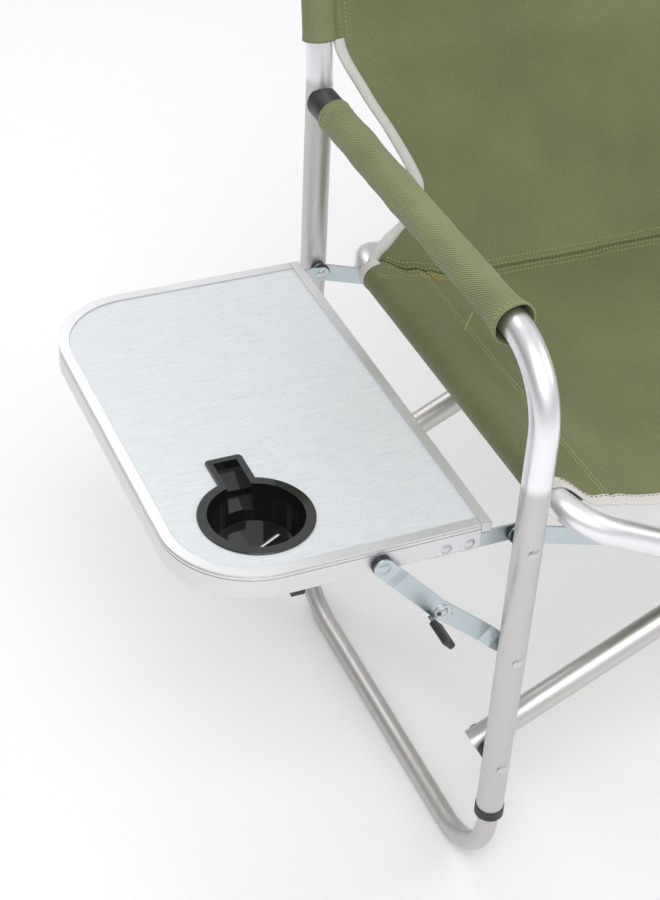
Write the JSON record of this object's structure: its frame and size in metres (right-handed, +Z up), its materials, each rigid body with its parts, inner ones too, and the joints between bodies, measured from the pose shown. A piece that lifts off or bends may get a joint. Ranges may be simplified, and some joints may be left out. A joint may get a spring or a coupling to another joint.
{
  "type": "director chair",
  "caption": "Folding camp chair with fabric sling seat, back and armrests on a tubular cross-leg frame, and a fold-down side table with a cup holder",
  "frame": {"origin": "middle of the box's footprint, at floor level", "axes": "+X to the right as seen from the front, away from the side table; +Y from the front to the back; +Z up"},
  "size_m": [0.8526, 0.5296, 0.8113],
  "materials": {
    "frame_tube": "satin anodised tube, polished at the bends",
    "rim_aluminium": "extruded, satin",
    "zinc_steel": "zinc plated, slightly blue",
    "black_plastic": "moulded, matt black",
    "cup_plastic": "moulded, glossy black",
    "table_laminate": "pale grey laminate with a fine brushed grain",
    "canvas": "olive green woven polyester"
  },
  "bodies": {
    "left_frame": {"left_front_leg_and_arm": "frame_tube", "left_rear_post": "frame_tube", "left_floor_tube": "frame_tube", "left_leg_collars": "black_plastic", "left_post_cap": "black_plastic", "left_arm_saddle": "black_plastic", "left_arm_rivet": "zinc_steel", "left_arm_sleeve": "canvas", "left_frame_bolts": "zinc_steel", "left_frame_washers": "black_plastic", "back_cloth": "canvas"},
    "inner_legs": {"inner_cross_leg": "frame_tube", "centre_pivot_bolts": "zinc_steel", "centre_pivot_spacers": "black_plastic", "inner_leg_link_rivets": "zinc_steel", "seat_cloth": "canvas"},
    "outer_legs": {"outer_cross_leg": "frame_tube", "outer_leg_link_rivets": "zinc_steel"},
    "right_frame": {"right_front_leg_and_arm": "frame_tube", "right_rear_post": "frame_tube", "right_floor_tube": "frame_tube", "right_leg_collars": "black_plastic", "right_post_cap": "black_plastic", "right_arm_saddle": "black_plastic", "right_arm_rivet": "zinc_steel", "right_arm_sleeve": "canvas", "right_frame_bolts": "zinc_steel", "right_frame_washers": "black_plastic"},
    "left_links": {"left_front_seat_link": "zinc_steel", "left_rear_seat_link": "zinc_steel"},
    "right_links": {"right_front_seat_link": "zinc_steel", "right_rear_seat_link": "zinc_steel"},
    "side_table": {"table_rim": "rim_aluminium", "table_side_rail": "rim_aluminium", "table_panel": "table_laminate", "cup_holder": "cup_plastic", "table_hinge_straps": "zinc_steel", "table_rivets": "zinc_steel", "table_brace_studs": "zinc_steel", "table_stop_pad": "black_plastic"},
    "lower_braces": {"front_lower_brace": "zinc_steel", "rear_lower_brace": "zinc_steel", "brace_elbow_rivets": "zinc_steel"},
    "upper_braces": {"front_upper_brace": "zinc_steel", "rear_upper_brace": "zinc_steel", "brace_release_grips": "black_plastic", "brace_table_washers": "black_plastic"}
  },
  "joints": [
    {"name": "chair_fold", "type": "hinge", "parent": "left_frame", "child": "inner_legs", "pos_m": [-0.14483, -0.02116, 0.16], "axis": [0, -1, 0], "range_deg": [0, 52.9], "deforming": ["seat_cloth", "back_cloth"]},
    {"name": "centre_pivot", "type": "hinge", "parent": "inner_legs", "child": "outer_legs", "pos_m": [0.13317, -0.02116, 0.30223], "axis": [0, -1, 0], "range_deg": [-106, 0]},
    {"name": "right_leg_pivot", "type": "hinge", "parent": "outer_legs", "child": "right_frame", "pos_m": [0.41118, -0.02116, 0.16], "axis": [0, -1, 0], "range_deg": [0, 53]},
    {"name": "left_link_pivot", "type": "hinge", "parent": "left_frame", "child": "left_links", "pos_m": [-0.14483, -0.02116, 0.4111], "axis": [0, -1, 0], "range_deg": [0, 97]},
    {"name": "right_link_pivot", "type": "hinge", "parent": "right_frame", "child": "right_links", "pos_m": [0.41118, -0.02116, 0.4111], "axis": [0, -1, 0], "range_deg": [-97, 0]},
    {"name": "table_fold", "type": "hinge", "parent": "left_frame", "child": "side_table", "pos_m": [-0.14483, -0.02116, 0.4111], "axis": [0, -1, 0], "range_deg": [0, 78]},
    {"name": "brace_leg_pivot", "type": "hinge", "parent": "left_frame", "child": "lower_braces", "pos_m": [-0.14483, -0.02116, 0.29], "axis": [0, -1, 0], "range_deg": [0, 120]},
    {"name": "brace_elbow", "type": "hinge", "parent": "lower_braces", "child": "upper_braces", "pos_m": [-0.20913, -0.02116, 0.3478], "axis": [0, -1, 0], "range_deg": [-156, 0]}
  ],
  "couplings": [
    {"joint": "centre_pivot", "follows": "chair_fold", "ratio": -2},
    {"joint": "right_leg_pivot", "follows": "chair_fold", "ratio": 1},
    {"joint": "left_link_pivot", "follows": "chair_fold", "ratio": 1.8277},
    {"joint": "right_link_pivot", "follows": "chair_fold", "ratio": -1.8277},
    {"joint": "brace_leg_pivot", "follows": "table_fold", "ratio": 1.5335},
    {"joint": "brace_elbow", "follows": "table_fold", "ratio": -1.9917}
  ]
}
